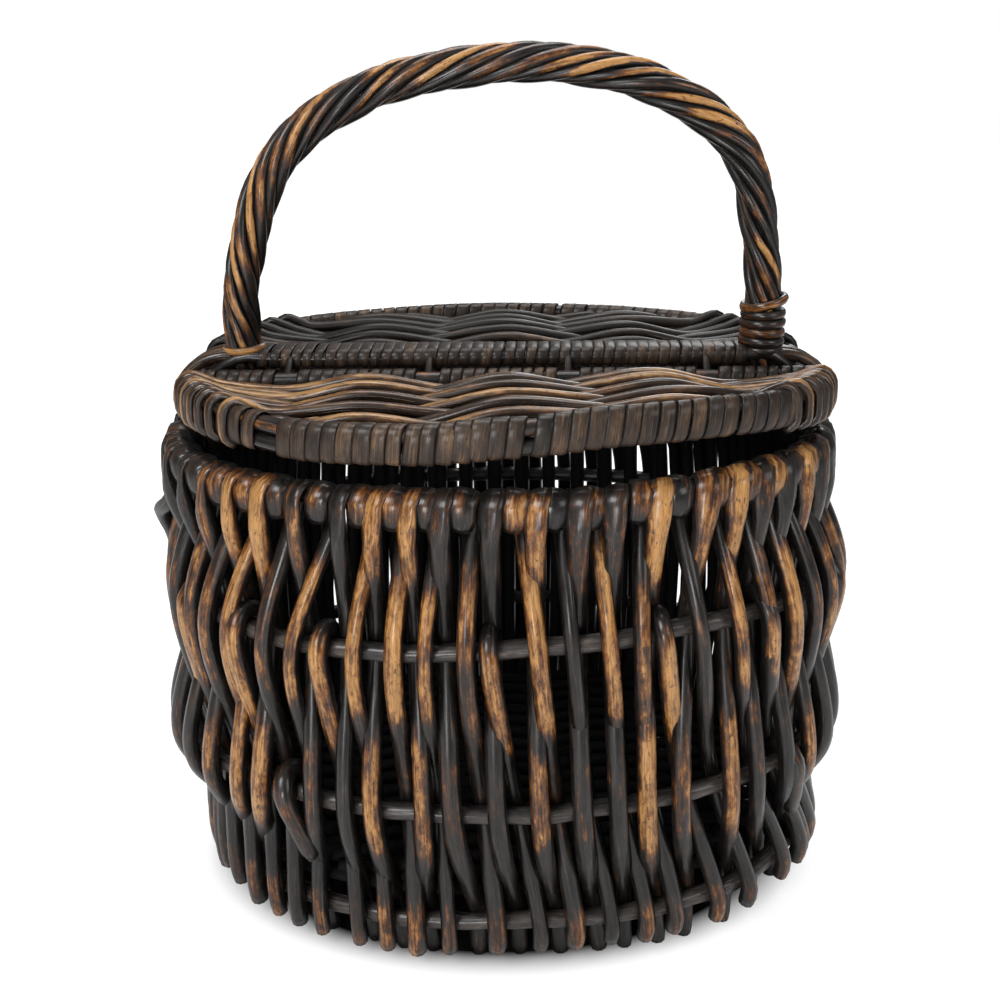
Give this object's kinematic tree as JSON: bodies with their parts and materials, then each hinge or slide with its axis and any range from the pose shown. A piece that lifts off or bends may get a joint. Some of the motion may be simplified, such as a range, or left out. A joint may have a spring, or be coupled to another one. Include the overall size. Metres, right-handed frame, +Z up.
{
  "type": "wicker fishing creel",
  "caption": "Oval open-wicker basket with a roped bow handle on a fixed crossbar and a hinged woven lid on each side of it.",
  "frame": {"origin": "middle of the oval on the plane that the stake feet stand on", "axes": "+Z up, +X along the crossbar to the end with the collared handle leg, -Y towards the front lid"},
  "size_m": [0.3505, 0.24, 0.4146],
  "materials": {
    "dark_willow": "dark stained and varnished willow rods",
    "worn_willow": "dark stained willow worn to golden brown on its high sides",
    "weathered_willow": "greyed dark willow hoops",
    "split_cane": "dark stained flat split cane"
  },
  "bodies": {
    "basket": {"bow_core": "dark_willow", "bow_pegs": "dark_willow", "bow_strand_1": "worn_willow", "bow_strand_2": "worn_willow", "bow_strand_3": "worn_willow", "bow_strand_4": "worn_willow", "bow_strand_5": "worn_willow", "bow_strand_6": "worn_willow", "bow_strand_7": "worn_willow", "bow_strand_8": "worn_willow", "crossbar_binding": "split_cane", "crossbar_front_rod": "dark_willow", "crossbar_rear_rod": "dark_willow", "floor_hoop": "weathered_willow", "floor_rods": "dark_willow", "floor_sticks": "dark_willow", "front_hinge_loops": "split_cane", "inserted_stakes": "worn_willow", "left_leg_tie": "split_cane", "loop_stakes": "worn_willow", "lower_hoop": "weathered_willow", "middle_hoop": "weathered_willow", "rear_hinge_loops": "split_cane", "right_leg_collar": "split_cane", "rim_rod": "dark_willow", "tail_stakes": "worn_willow", "upper_hoop": "weathered_willow"},
    "front_lid": {"front_lid_back_bar": "dark_willow", "front_lid_bar_binding": "split_cane", "front_lid_edge_binding": "split_cane", "front_lid_edge_lower_rod": "dark_willow", "front_lid_edge_upper_rod": "dark_willow", "front_lid_ribs": "dark_willow", "front_lid_weavers": "worn_willow"},
    "rear_lid": {"rear_lid_back_bar": "dark_willow", "rear_lid_bar_binding": "split_cane", "rear_lid_edge_binding": "split_cane", "rear_lid_edge_lower_rod": "dark_willow", "rear_lid_edge_upper_rod": "dark_willow", "rear_lid_ribs": "dark_willow", "rear_lid_weavers": "worn_willow"}
  },
  "joints": [
    {"name": "front_lid_hinge", "type": "hinge", "parent": "basket", "child": "front_lid", "pos_m": [0, -0.01674, 0.264], "axis": [-1, 0, 0], "range_deg": [0, 70]},
    {"name": "rear_lid_hinge", "type": "hinge", "parent": "basket", "child": "rear_lid", "pos_m": [0, 0.01674, 0.264], "axis": [1, 0, 0], "range_deg": [0, 70]}
  ]
}
